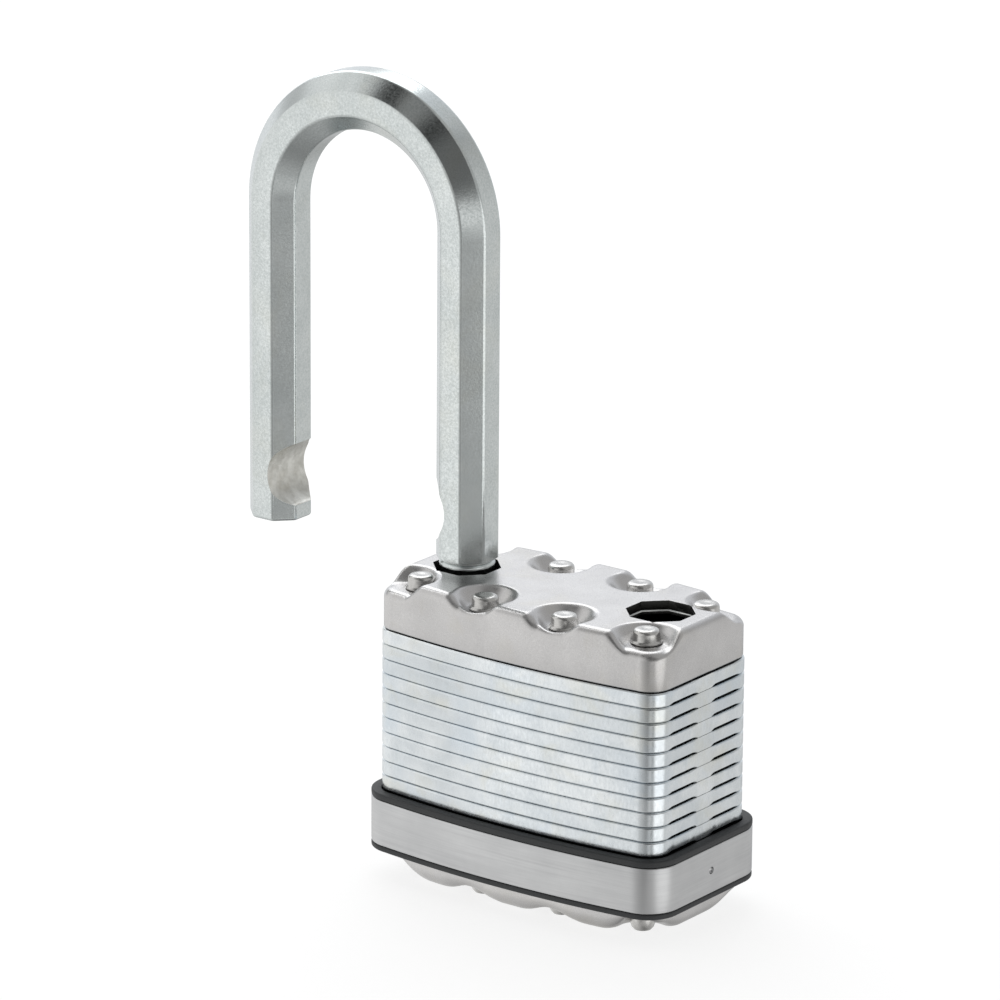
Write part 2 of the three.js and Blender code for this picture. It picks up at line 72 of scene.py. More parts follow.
# Shackle: an octagonal bar, its toe swung round beyond the heel
LEG_SPACING = 34.8
HEEL_X = -LEG_SPACING / 2
TOE_X = LEG_SPACING / 2
ARCH_X = HEEL_X - LEG_SPACING / 2
RAISED_TOE_X = HEEL_X - LEG_SPACING
BORE = 9.55  # across flats
BAR = 8.75  # across flats
ARCH_Z = 50.1
TOE_END_Z = 1.2
TOE_ROUND = 0.5
NOTCH_RADIUS = 5.1
NOTCH_OFFSET = 1.7  # of the notches' axes from the bar's inner flats
NOTCH_Z = 8.4

# Room inside the body
BALL_CHANNEL = 3.65  # half its width, and the radius across the heel's neck
CHANNEL_FLOOR = -9.25
NECK_X, NECK_Z = -12.575, -5.6
SHELL_ROOM = 6.7
STEM_ROOM = 2.55
RETAINER_ROOM = 6.1
RETAINER_Z = (-17.2, -15.99)

RIVETS = [sum(low_high("rivet_%d" % n), Vector()) / 2 for n in range(1, 9)]
POCKET_SHIFT = (1.4, 2.0)  # of an end pocket's middle outwards from its rivet
POCKET_GROWTH = 0.4
MOUTH_DEPTH = 1.25  # of a pocket where it runs out to the side
KEY_HOLE = 5.6
WELD = 0.0005  # corners closer than this are one
SHARP_TURN = math.radians(60)


# Mesh work -----------------------------------------------------------------

def finish_mesh(bm, name, body, nodes, materials, smooth=40, flats=False):
    """Turns a bmesh in millimetres into a finished piece that rides on a body."""
    bmesh.ops.scale(bm, vec=Vector((0.001,) * 3), verts=bm.verts)
    mesh = bpy.data.meshes.new(name)
    bm.to_mesh(mesh)
    bm.free()
    for material in materials:
        mesh.materials.append(material)
    mesh.polygons.foreach_set("use_smooth", [True] * len(mesh.polygons))
    mesh.set_sharp_from_angle(angle=math.radians(smooth))
    piece = bpy.data.objects.new(name, mesh)
    bpy.context.scene.collection.objects.link(piece)
    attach(piece, body)
    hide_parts(*nodes)
    if flats:
        level = piece.modifiers.new("flat_faces", "WEIGHTED_NORMAL")
        level.keep_sharp = True
    return piece


def carve(bm, cutters):
    """Cuts the cutters, closed bmeshes, out of a closed bmesh."""
    def temporary(made):
        mesh = bpy.data.meshes.new("blank")
        made.to_mesh(mesh)
        made.free()
        blank = bpy.data.objects.new("blank", mesh)
        bpy.context.scene.collection.objects.link(blank)
        return blank

    work = temporary(bm)
    tools = [temporary(cutter) for cutter in cutters]
    for tool in tools:
        cut = work.modifiers.new("cut", "BOOLEAN")
        cut.operation = "DIFFERENCE"
        cut.solver = "EXACT"
        cut.object = tool
    result = bmesh.new()
    result.from_object(work, bpy.context.evaluated_depsgraph_get())
    for blank in [work] + tools:
        mesh = blank.data
        bpy.data.objects.remove(blank)
        bpy.data.meshes.remove(mesh)
    bmesh.ops.remove_doubles(result, verts=result.verts, dist=WELD)
    return result


def soften(bm, edges, width, steps):
    """Rounds edges over."""
    return bmesh.ops.bevel(
        bm,
        geom=edges,
        offset=width,
        offset_type="OFFSET",
        segments=steps,
        profile=0.5,
        affect="EDGES",
        clamp_overlap=True,
        material=-1,
    )


def sharp_edges(bm, keep=lambda edge: True):
    """Edges between faces that turn sharply, of those that keep lets through."""
    return [e for e in bm.edges
            if len(e.link_faces) == 2 and e.calc_face_angle(0) > SHARP_TURN and keep(e)]


def middle(edge):
    return (edge.verts[0].co + edge.verts[1].co) / 2


def body_face(bm, z=0, end_cuts=0):
    """One flat face on the body's outline: flat ends, bowed front and back, round corners."""
    corners = [bm.verts.new((sx * HALF_WIDTH, sy * END_HALF_DEPTH, z)) for sx, sy in
               ((1, -1), (1, 1), (-1, 1), (-1, -1))]
    bm.faces.new(corners)
    bmesh.ops.bevel(bm, geom=corners, offset=CORNER, offset_type="OFFSET", segments=10,
                    profile=0.5, affect="VERTICES", material=-1)
    straight = HALF_WIDTH - CORNER
    long = [e for e in bm.edges if e.calc_length() > 1.5 * END_HALF_DEPTH]
    for edge in long:
        bmesh.ops.subdivide_edges(bm, edges=[edge], cuts=23)
    ends = [e for e in bm.edges if end_cuts and abs(abs(middle(e).x) - HALF_WIDTH) < 0.01]
    for edge in ends:
        bmesh.ops.subdivide_edges(bm, edges=[edge], cuts=end_cuts)
    for v in bm.verts:
        if abs(v.co.x) < straight:
            bulge = BOW * (1 - (v.co.x / straight) ** 2)
            v.co.y += math.copysign(bulge, v.co.y)
    return bm.faces[:][0]


def slab(low, high, end_cuts):
    """A prism on the body's outline."""
    bm = bmesh.new()
    face = body_face(bm, low, end_cuts)
    risen = bmesh.ops.extrude_face_region(bm, geom=[face])
    verts = [g for g in risen["geom"] if isinstance(g, bmesh.types.BMVert)]
    bmesh.ops.translate(bm, verts=verts, vec=UP * (high - low))
    bmesh.ops.recalc_face_normals(bm, faces=bm.faces)
    return bm


def post(sides, across, x, y, low, high):
    """An upright prism, its size given across flats, with a flat facing +X."""
    bm = bmesh.new()
    radius = across / 2 / math.cos(math.pi / sides)
    bmesh.ops.create_cone(bm, cap_ends=True, segments=sides, radius1=radius, radius2=radius,
                          depth=high - low)
    bmesh.ops.rotate(bm, verts=bm.verts, matrix=Matrix.Rotation(math.pi / sides, 3, "Z"))
    bmesh.ops.translate(bm, verts=bm.verts, vec=(x, y, (low + high) / 2))
    return bm


def block(x, y, z):
    """A box between two ends on each axis."""
    bm = bmesh.new()
    bmesh.ops.create_cube(bm, size=1)
    bmesh.ops.scale(bm, vec=(x[1] - x[0], y[1] - y[0], z[1] - z[0]), verts=bm.verts)
    bmesh.ops.translate(bm, verts=bm.verts,
                        vec=((x[0] + x[1]) / 2, (y[0] + y[1]) / 2, (z[0] + z[1]) / 2))
    return bm


def cross_drill(radius, x, y, z, sides=64):
    """A round solid lying along Y."""
    bm = bmesh.new()
    bmesh.ops.create_cone(bm, cap_ends=True, segments=sides, radius1=radius, radius2=radius,
                          depth=y[1] - y[0])
    bmesh.ops.rotate(bm, verts=bm.verts, matrix=Matrix.Rotation(math.pi / 2, 3, "X"))
    bmesh.ops.translate(bm, verts=bm.verts, vec=(x, (y[0] + y[1]) / 2, z))
    return bm


def turned(profile, steps, x=0, y=0):
    """A piece turned about an upright axis from (radius, z) corners."""
    bm = bmesh.new()
    verts = [bm.verts.new((r, 0, z)) for r, z in profile]
    edges = [bm.edges.new(pair) for pair in zip(verts, verts[1:])]
    bmesh.ops.spin(bm, geom=verts + edges, cent=(0, 0, 0), axis=(0, 0, 1), dvec=(0, 0, 0),
                   angle=2 * math.pi, steps=steps, use_merge=True, use_duplicate=False)
    bmesh.ops.remove_doubles(bm, verts=bm.verts, dist=0.001)
    bmesh.ops.recalc_face_normals(bm, faces=bm.faces)
    bmesh.ops.translate(bm, verts=bm.verts, vec=(x, y, 0))
    return bm


def keep_within(bm, node):
    """Brings corners that stand outside a CAD node's box back to its sides."""
    low, high = low_high(node)
    for v in bm.verts:
        v.co = [min(max(c, a), b) for c, a, b in zip(v.co, low, high)]


def drawn_edges(bm, edges, home, place):
    """Draws boundary edges out to new corners; place gives each one's spot from its home."""
    fresh = bmesh.ops.extrude_edge_only(bm, edges=edges)["geom"]
    new = {g for g in fresh if isinstance(g, bmesh.types.BMVert)}
    for v in new:
        source = next(e.other_vert(v) for e in v.link_edges if e.other_vert(v) not in new)
        home[v] = home[source]
        v.co = place(home[v])
    return [g for g in fresh if isinstance(g, bmesh.types.BMEdge)
            and g.verts[0] in new and g.verts[1] in new]


def swept_round_body(section):
    """Carries a closed section of (outward, z) corners round the body's outline."""
    bm = bmesh.new()
    face = body_face(bm)
    loop = list(face.verts)
    edges = list(face.edges)
    bmesh.ops.delete(bm, geom=[face], context="FACES_ONLY")
    home = {}
    for i, v in enumerate(loop):
        along = (loop[(i + 1) % len(loop)].co - loop[i - 1].co).normalized()
        outward = along.cross(UP)
        home[v] = (v.co.copy(), outward if outward.dot(v.co) > 0 else -outward)
    out, z = section[0]
    for v in loop:
        v.co = home[v][0] + home[v][1] * out + UP * z
    for out, z in section[1:] + section[:1]:
        edges = drawn_edges(bm, edges, home,
                            lambda spot: spot[0] + spot[1] * out + UP * z)
    bmesh.ops.remove_doubles(bm, verts=bm.verts, dist=WELD)
    bmesh.ops.recalc_face_normals(bm, faces=bm.faces)
    return bm


# Materials -------------------------------------------------------------------

def linear(code):
    """An sRGB hex colour as linear RGBA."""
    parts = [int(code[i:i + 2], 16) / 255 for i in (1, 3, 5)]
    return [c / 12.92 if c <= 0.04045 else ((c + 0.055) / 1.055) ** 2.4 for c in parts] + [1]


def put(tree, kind, sockets=None, **settings):
    """Adds a node with its settings, and fills or feeds its sockets."""
    made = tree.nodes.new(kind)
    for name, value in settings.items():
        setattr(made, name, value)
    for name, value in (sockets or {}).items():
        if isinstance(value, bpy.types.NodeSocket):
            tree.links.new(value, made.inputs[name])
        else:
            made.inputs[name].default_value = value
    return made


def noise(tree, place, size_mm, detail, **sockets):
    """Soft noise with features of a size in millimetres."""
    return put(tree, "ShaderNodeTexNoise", {"Vector": place, "Scale": 1000 / size_mm,
               "Detail": detail, **sockets}).outputs["Fac"]


def ranged(tree, value, low, high, start, end, **settings):
    """Maps a value from low..high to start..end."""
    return put(tree, "ShaderNodeMapRange", {"Value": value, "From Min": low, "From Max": high,
               "To Min": start, "To Max": end}, **settings).outputs["Result"]


def mixed(tree, share, a, b):
    """Two colours, the second one by its share."""
    return put(tree, "ShaderNodeMix", {"Factor": share, "A": a, "B": b},
               data_type="RGBA").outputs["Result"]


def maths(tree, operation, *values):
    """One sum on values or on other nodes' outputs."""
    return put(tree, "ShaderNodeMath", dict(enumerate(values)),
               operation=operation).outputs["Value"]


def start_material(name):
    """An empty material, its node tree, and places on the piece to feed its textures."""
    material = bpy.data.materials.new(name)
    material.use_nodes = True
    tree = material.node_tree
    tree.nodes.clear()
    place = put(tree, "ShaderNodeTexCoord").outputs["Object"]
    return material, tree, place


def relief(tree, height, depth_mm):
    """Bends the normals as if the surface stood up by a height."""
    return put(tree, "ShaderNodeBump", {"Height": height, "Strength": 1.0,
               "Distance": depth_mm / 1000}).outputs["Normal"]


def end_material(tree, colour, roughness, bump, metallic, **fixed):
    """Feeds the shader; fixed holds further sockets, with _ for a space in a name."""
    sockets = {"Base Color": colour, "Roughness": roughness, "Metallic": metallic}
    if bump:
        sockets["Normal"] = bump
    sockets.update({k.replace("_", " "): v for k, v in fixed.items()})
    shader = put(tree, "ShaderNodeBsdfPrincipled", sockets)
    put(tree, "ShaderNodeOutputMaterial", {"Surface": shader.outputs["BSDF"]})


def satin_metal(name, light, dark, roughness, spread, grain_mm, depth_mm, cloud_mm=6,
                stretch=(1, 1, 1), stain=None, stain_share=0.0, cloud_share=0.35, bloom=None,
                bloom_share=0.0, layer_mm=0.0, layer_start=0.0, speckle=0.25):
    """A metal with a fine grain in its gloss and height, and broad soft clouding in its colour.

    A bloom and a stain lie over it in patches; layers of one height can each have a shade."""
    material, tree, place = start_material(name)
    along = put(tree, "ShaderNodeMapping", {"Vector": place, "Scale": stretch})
    grain = noise(tree, along.outputs["Vector"], grain_mm, 3.0, Roughness=0.6)
    cloud = noise(tree, place, cloud_mm, 4.0, Roughness=0.55)
    shade = maths(tree, "ADD", ranged(tree, cloud, 0.3, 0.7, 0.0, cloud_share),
                  ranged(tree, grain, 0.3, 0.7, 0.0, speckle))
    colour = mixed(tree, shade, linear(light), linear(dark))
    if bloom:
        haze = noise(tree, place, cloud_mm * 2.6, 3.0, Roughness=0.5, Distortion=0.3)
        colour = mixed(tree, ranged(tree, haze, 0.5, 0.65, 0.0, bloom_share), colour,
                       linear(bloom))
    if layer_mm:
        upright = put(tree, "ShaderNodeSeparateXYZ", {"Vector": place}).outputs["Z"]
        count = maths(tree, "MULTIPLY_ADD", upright, 1000 / layer_mm, layer_start / layer_mm)
        own = put(tree, "ShaderNodeTexWhiteNoise", {"W": maths(tree, "FLOOR", count)},
                  noise_dimensions="1D").outputs["Value"]
        colour = mixed(tree, ranged(tree, own, 0.0, 1.0, 0.0, 0.55), colour, linear(dark))
    if stain:
        patch = noise(tree, place, cloud_mm * 1.7, 5.0, Roughness=0.6, Distortion=0.6)
        colour = mixed(tree, ranged(tree, patch, 0.52, 0.72, 0.0, stain_share), colour,
                       linear(stain))
    gloss = ranged(tree, grain, 0.25, 0.75, roughness - spread, roughness + spread)
    end_material(tree, colour, gloss, relief(tree, grain, depth_mm), 1.0)
    return material


# Zinc plating over a tumbled bar: cool light grey with a fine sparkle.
shackle_finish = satin_metal("zinc_plated_steel_satin_bar", "#DBE0E0", "#B8BFBF", 0.18, 0.09,
                             0.32, 0.011, stain="#C9C6B0", stain_share=0.15, speckle=0.5)
# The same bar where its corners are rubbed bright; the same finish is a painted glint on the
# toe-hole collar's inner edge.
worn_edge_and_painted_glint = satin_metal("zinc_plated_steel_worn_edge_and_painted_glint", "#F4F6F5", "#E2E6E5", 0.42, 0.08,
                          0.3, 0.003)
# The grooves are milled and left rough: warm and mottled, with oil tint left by the cutter.
notch_finish = satin_metal("milled_steel_rough_groove", "#E8E8E3", "#B6B5AE", 0.36, 0.12,
                           0.8, 0.04, cloud_mm=2.2, stain="#A8925E", stain_share=0.1,
                           cloud_share=0.7)
# Sheared walls of the holes, painted dark as the shade inside the holes.
bore_painted_shade = satin_metal("stainless_steel_sheared_painted_shade", "#5C5C5A", "#3C3C3B", 0.42, 0.10,
                          0.3, 0.01, cloud_mm=2)
# Hardened guard and end plates under the covers, painted near black as the shade seen down the
# holes.
guard_painted_shade = satin_metal("hardened_steel_painted_shade", "#2C2D2F", "#1C1D1E", 0.32, 0.08,
                           0.3, 0.004, cloud_mm=3)
# Pressed stainless steel, satin from the sheet mill, slightly dulled by pressing.
cover_finish = satin_metal("stainless_steel_satin_pressing", "#D2D1D1", "#B3B2B2", 0.30, 0.07,
                           0.22, 0.0026, stain="#C2BBA5", stain_share=0.2)
# Bright zinc with a blue passivate: cool white sheen with faint yellow and blue patches.
plate_finish = satin_metal("zinc_plated_steel_blue_passivate", "#EDF1F3", "#CCD3D8", 0.22, 0.08,
                           0.4, 0.005, cloud_mm=4, stretch=(1, 1, 0.5), stain="#DDD8C2",
                           stain_share=0.3, cloud_share=0.6, bloom="#CBD7E2", bloom_share=0.45,
                           layer_mm=PLATE_PITCH, layer_start=-plate_high.z)
# Cold-headed stainless rivets, rubbed dull by the heading tool.
rivet_finish = satin_metal("stainless_steel_cold_headed", "#D2D1CF", "#A9A8A6", 0.25, 0.08,
                           0.25, 0.006, cloud_mm=2)
# Brushed stainless strip: long fine lines along the band.
band_finish = satin_metal("stainless_steel_brushed_strip", "#CDCECF", "#B3B4B6", 0.36, 0.08,
                          0.25, 0.003, stretch=(0.02, 0.02, 1))
# Oil-tempered spring wire: dark grey with drawing lines.
spring_finish = satin_metal("spring_steel_oil_tempered", "#8C8F92", "#6B6E72", 0.34, 0.06,
                            0.2, 0.002)
# Polished chrome-steel balls.
ball_finish = satin_metal("bearing_steel_polished", "#D8DADC", "#C6C9CC", 0.12, 0.03,
                          0.3, 0.0005)
# Drawn brass, clean inside the body.
brass_finish = satin_metal("brass_machined", "#C9A862", "#AD8B48", 0.28, 0.06,
                           0.2, 0.002, stretch=(1, 1, 0.2))

# Moulded rubber: nearly black, with a dull skin and a faint waxy bloom.
rubber_finish, tree, place = start_material("rubber_moulded_black")
skin = noise(tree, place, 0.35, 4.0)
tint = mixed(tree, noise(tree, place, 5, 3.0), linear("#26282A"), linear("#323436"))
end_material(tree, tint, ranged(tree, skin, 0.0, 1.0, 0.45, 0.65), relief(tree, skin, 0.01), 0.0,
             IOR=1.5)


# Plates ------------------------------------------------------------------------

def hollows(low, high):
    """The bores, ball channel and cylinder room that reach a plate between two heights."""
    through = (low - 1, high + 1)
    cuts = [post(8, BORE, HEEL_X, 0, *through)]
    if low > low_high("plate_05")[0].z - 0.1:
        cuts.append(post(8, BORE, TOE_X, 0, *through))
    if high > CHANNEL_FLOOR:
        cuts.append(block((HEEL_X, TOE_X), (-BALL_CHANNEL, BALL_CHANNEL),
                          (CHANNEL_FLOOR, high + 1)))
    if low < low_high("cylinder_shell")[1].z + 1:
        cuts.append(post(48, 2 * SHELL_ROOM, 0, 0, *through))
        cuts.append(block((-3, 3), (0, 11), through))
    else:
        cuts.append(post(32, 2 * STEM_ROOM, 0, 0, *through))
    if low < RETAINER_Z[1] and high > RETAINER_Z[0]:
        cuts.append(post(32, 2 * RETAINER_ROOM, HEEL_X, 0, *through))
    return cuts


FLUSH_HALF, GROOVE_END = 1.9, 8.5  # from the middle of the end
GROOVE_DEPTH, GROOVE_GAP = 0.24, 0.15  # on each plate at its rim

for number in range(3, 14):
    node = "plate_%02d" % number
    low, high = (corner.z for corner in low_high(node))
    bm = slab(low, high, end_cuts=19)
    rims = [e for e in bm.edges if abs(e.verts[0].co.z - e.verts[1].co.z) < 0.001]
    soften(bm, rims, 0.3, 3)
    # Each end is flush down its middle and at its corners, with a deep groove between
    for v in bm.verts:
        if abs(v.co.x) < HALF_WIDTH - 0.5:
            continue
        if abs(v.co.y) < FLUSH_HALF:
            v.co.x = math.copysign(HALF_WIDTH, v.co.x)
            v.co.z = min(max(v.co.z, low + 0.02), high - 0.02)
        elif abs(v.co.y) < GROOVE_END:
            near = max(0, 1 - min(v.co.z - low, high - v.co.z) / 0.4)
            v.co.x -= math.copysign(GROOVE_DEPTH * near, v.co.x)
            v.co.z += math.copysign(GROOVE_GAP * near, (low + high) / 2 - v.co.z)
    bm = carve(bm, hollows(low, high))
    finish_mesh(bm, "laminate_%02d" % number, "case", [node], [plate_finish],
                smooth=35, flats=True)


# Covers --------------------------------------------------------------------------

COVER_INSET = 0.2  # of the covers' sides from the plates' outline
SHEET = 1.2


def pocket_distance(x, y, radius, open_out):
    """Distance outside the nearest rivet pocket, negative inside it."""
    nearest = 99.0
    for rivet in RIVETS:
        outer = abs(rivet.x) > HALF_WIDTH / 2
        shift_x, shift_y = POCKET_SHIFT if outer else (0, 0)
        away_x = x - rivet.x - math.copysign(shift_x, rivet.x)
        away_y = y - rivet.y - math.copysign(shift_y, rivet.y)
        if open_out and away_y * rivet.y > 0:
            away_y = 0
        size = radius + (POCKET_GROWTH if outer else 0)
        nearest = min(nearest, math.hypot(away_x, away_y) - size)
    return nearest


def cover_sheet(bm, inset, bend, depth, radius, wall, drop, domed):
    """A pressed sheet on the body's outline, with pockets and a bent-over edge.

    Its rows of faces follow the outline, close together over the bend."""
    half_x, half_y = HALF_WIDTH - inset, END_HALF_DEPTH - inset
    corner = CORNER - inset
    nx, ny, rows = 240, 128, 9  # faces along, faces across, rows over the bend
    made = bmesh.ops.create_grid(bm, x_segments=nx, y_segments=ny, size=1)["verts"]

    def spread(t, count, half):
        """Rows over the bend at equal turns, and evenly spaced inside it."""
        step = abs(t) * count / 2
        inside = count / 2 - rows
        if step <= inside:
            return math.copysign((half - bend) * step / inside, t)
        turn = (count / 2 - step) / rows * math.pi / 2
        return math.copysign(half - bend * (1 - math.cos(turn)), t)

    for v in made:
        x, y = spread(v.co.x, nx, half_x), spread(v.co.y, ny, half_y)
        a = (abs(x) - (half_x - corner)) / corner
        b = (abs(y) - (half_y - corner)) / corner
        edge = min(half_x - abs(x), half_y - abs(y))
        if a > 0 and b > 0:
            far = max(a, b)
            angle = math.pi / 4 * (b / a if a >= b else 2 - a / b)
            x = math.copysign(half_x - corner + corner * far * math.cos(angle), x)
            y = math.copysign(half_y - corner + corner * far * math.sin(angle), y)
            edge = (1 - far) * corner
        straight = half_x - corner
        if abs(x) < straight:
            bulge = BOW * (1 - (x / straight) ** 2)
            y += math.copysign(bulge * min(1, abs(y) / (half_y - bend - 1)), y)
        share = min(max(-pocket_distance(x, y, radius, False) / wall, 0), 1)
        if domed:
            fall = depth * (1 - math.sqrt(1 - (0.985 * share) ** 2)) / 0.827
        else:
            mouth = min(max(-pocket_distance(x, y, radius - 0.2, True) / wall, 0), 1)
            dish = depth * share * share * (3 - 2 * share)
            lip = MOUTH_DEPTH * mouth * mouth * (3 - 2 * mouth)
            fall = (dish ** 4 + lip ** 4) ** 0.25
        over = max(bend - max(edge, 0), 0)
        z = -drop - fall - (bend - math.sqrt(max(bend * bend - over * over, 0)))
        v.co = (x, y, z)
    return made


def cover(depth, bend, radius, wall, height, domed=False):
    """A closed pressed cover with its outer face at z = 0 and its wall running down."""
    bm = bmesh.new()
    outer = cover_sheet(bm, COVER_INSET, bend, depth, radius, wall, 0, domed)
    inner = cover_sheet(bm, COVER_INSET + SHEET, max(bend - SHEET, 0.4), depth,
                        radius + SHEET, wall, SHEET, domed)
    home = {v: (v.co.copy(), partner.co.copy()) for v, partner in zip(outer, inner)}
    edges = [e for e in bm.edges if e.is_boundary and e.verts[0] in home]
    for place in (lambda spot: (spot[0].x, spot[0].y, -height),
                  lambda spot: (spot[1].x, spot[1].y, -height),
                  lambda spot: spot[1]):
        edges = drawn_edges(bm, edges, home, place)
    seam = [v for v in bm.verts if any(e.is_boundary for e in v.link_edges)]
    bmesh.ops.remove_doubles(bm, verts=seam, dist=WELD)
    bmesh.ops.recalc_face_normals(bm, faces=bm.faces)
    rim = sharp_edges(bm, lambda e: middle(e).z < -height + 0.01)
    soften(bm, rim, 0.25, 2)
    return bm


def mark_bores(bm, places, across):
    """Gives the sheared walls of upright holes their own material, painted dark as the shade in
    the holes.
    """
    for face in bm.faces:
        spot = face.calc_center_median()
        for x, y in places:
            if abs(face.normal.z) < 0.5 and math.hypot(spot.x - x, spot.y - y) < across * 0.55:
                face.material_index = 1


bm = cover(depth=2.1, bend=1.4, radius=5.0, wall=2.6, height=0.15 - COVER_RIM)
bm = carve(bm, [post(8, BORE, x, 0, -6, 2) for x in (HEEL_X, TOE_X)])
lips = sharp_edges(bm, lambda e: middle(e).z > -0.05 and abs(middle(e).y) < 5)
soften(bm, lips, 0.16, 2)
mark_bores(bm, ((HEEL_X, 0), (TOE_X, 0)), BORE)
# A pressed collar under the toe hole, painted dark as shade, with a painted glint on its inner
# edge
COLLAR_TOP = -1.35
collar = carve(post(8, 11.6, TOE_X, 0, -2.0, COLLAR_TOP),
               [post(8, BORE - 0.2, TOE_X, 0, -5, 0)])
collar_glint_edges = sharp_edges(collar, lambda e: middle(e).z > COLLAR_TOP - 0.05
                   and (middle(e) - Vector((TOE_X, 0, COLLAR_TOP))).length < 5.1)
for face in collar.faces:
    face.material_index = 1
for face in soften(collar, collar_glint_edges, 0.22, 2)["faces"]:
    face.material_index = 2
spare = bpy.data.meshes.new("blank")
collar.to_mesh(spare)
collar.free()
bm.from_mesh(spare)
bpy.data.meshes.remove(spare)
finish_mesh(bm, "cover_top", "case", ["top_cover"],
            [cover_finish, bore_painted_shade, worn_edge_and_painted_glint], smooth=72)

bm = cover(depth=2.5, bend=2.9, radius=6.3, wall=4.3, height=BASE_RIM - BASE_FACE, domed=True)
bmesh.ops.rotate(bm, verts=bm.verts, matrix=Matrix.Rotation(math.pi, 3, "X"))
bmesh.ops.translate(bm, verts=bm.verts, vec=UP * BASE_FACE)
bm = carve(bm, [post(64, 2 * KEY_HOLE, 0, 0, BASE_FACE - 1, BASE_FACE + 4)])
lips = sharp_edges(bm, lambda e: middle(e).z < BASE_FACE + 0.05
                   and middle(e).length < 46.5)
soften(bm, lips, 0.3, 3)
mark_bores(bm, ((0, 0),), 2 * KEY_HOLE)
finish_mesh(bm, "cover_base", "case", ["bottom_cover"],
            [cover_finish, bore_painted_shade], smooth=72)


# Rivets ----------------------------------------------------------------------------

for number, spot in enumerate(RIVETS, 1):
    low, high = (corner.z for corner in low_high("rivet_%d" % number))
    seat = high - 2
    tail = [(0, low), (0.85, low), (1.3, low + 0.18), (1.65, low + 0.6), (1.85, low + 1.2),
            (1.95, low + 2), (1.95, low + 2.4), (1.45, low + 2.4)]
    head = [(1.45, seat), (2.3, seat), (2.32, seat + 0.16), (2.12, seat + 0.34),
            (1.98, seat + 0.5), (1.95, high - 0.6), (1.88, high - 0.32), (1.7, high - 0.12),
            (1.42, high - 0.01), (0.9, high), (0.5, high - 0.04), (0, high - 0.06)]
    bm = turned(tail + head, 36, spot.x, spot.y)
    finish_mesh(bm, "pin_rivet_%d" % number, "case", ["rivet_%d" % number],
                [rivet_finish], smooth=50)


# Bumper ----------------------------------------------------------------------------

low, high = (corner.z for corner in low_high("bumper"))
band_low, band_high = (corner.z for corner in low_high("bumper_band"))
seat, back = 0.9, 0.95  # outwards from the plates: the band's seat, and its inner face
bm = swept_round_body([
    (0.05, low), (BUMPER_REACH, low), (BUMPER_REACH, band_low - 0.05),
    (seat, band_low - 0.05), (seat, band_high + 0.05), (BUMPER_REACH, band_high + 0.05),
    (BUMPER_REACH, high), (0.05, high)])
soften(bm, sharp_edges(bm), 0.22, 3)
keep_within(bm, "bumper")
finish_mesh(bm, "bumper_ring", "case", ["bumper"], [rubber_finish])

bm = swept_round_body([(back, band_low), (BUMPER_REACH, band_low),
                       (BUMPER_REACH, band_high), (back, band_high)])
soften(bm, sharp_edges(bm), 0.16, 3)
keep_within(bm, "bumper_band")
# A punch mark in the middle of the toe end
dent = bmesh.new()
bmesh.ops.create_uvsphere(dent, u_segments=24, v_segments=12, radius=0.56)
bmesh.ops.translate(dent, verts=dent.verts,
                    vec=(HALF_WIDTH + BUMPER_REACH + 0.02, 0, (band_low + band_high) / 2))
bm = carve(bm, [dent])
finish_mesh(bm, "bumper_strip", "case", ["bumper_band"], [band_finish])


# Shackle ------------------------------------------------------------------------------

